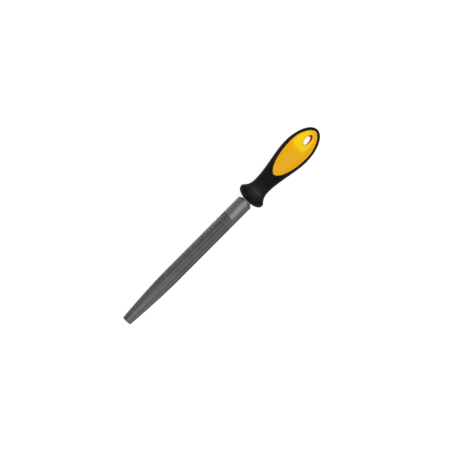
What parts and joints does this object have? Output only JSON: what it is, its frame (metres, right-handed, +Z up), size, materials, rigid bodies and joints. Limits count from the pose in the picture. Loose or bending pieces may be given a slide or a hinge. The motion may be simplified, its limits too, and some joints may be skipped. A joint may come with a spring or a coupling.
{
  "type": "half-round file",
  "caption": "Half-round engineer's file with a tapered, square-ended blade, its tang driven into a guarded two-material handle with an oval hanging hole.",
  "frame": {"origin": "under the middle of the tool's length, level with the lowest point of the handle's guard", "axes": "+X along the tool from its point to the end of its handle, +Z up with the blade's round back on top and its flat side below, +Y across the blade"},
  "size_m": [0.3234, 0.0362, 0.0292],
  "materials": {
    "file_steel": "hardened steel, cut with rows of teeth, the heel ground smooth",
    "hard_plastic": "glossy amber yellow",
    "soft_grip": "satin black soft plastic"
  },
  "bodies": {
    "root": {"file_blade": "file_steel", "handle_core": "hard_plastic", "handle_grip": "soft_grip"}
  },
  "joints": []
}
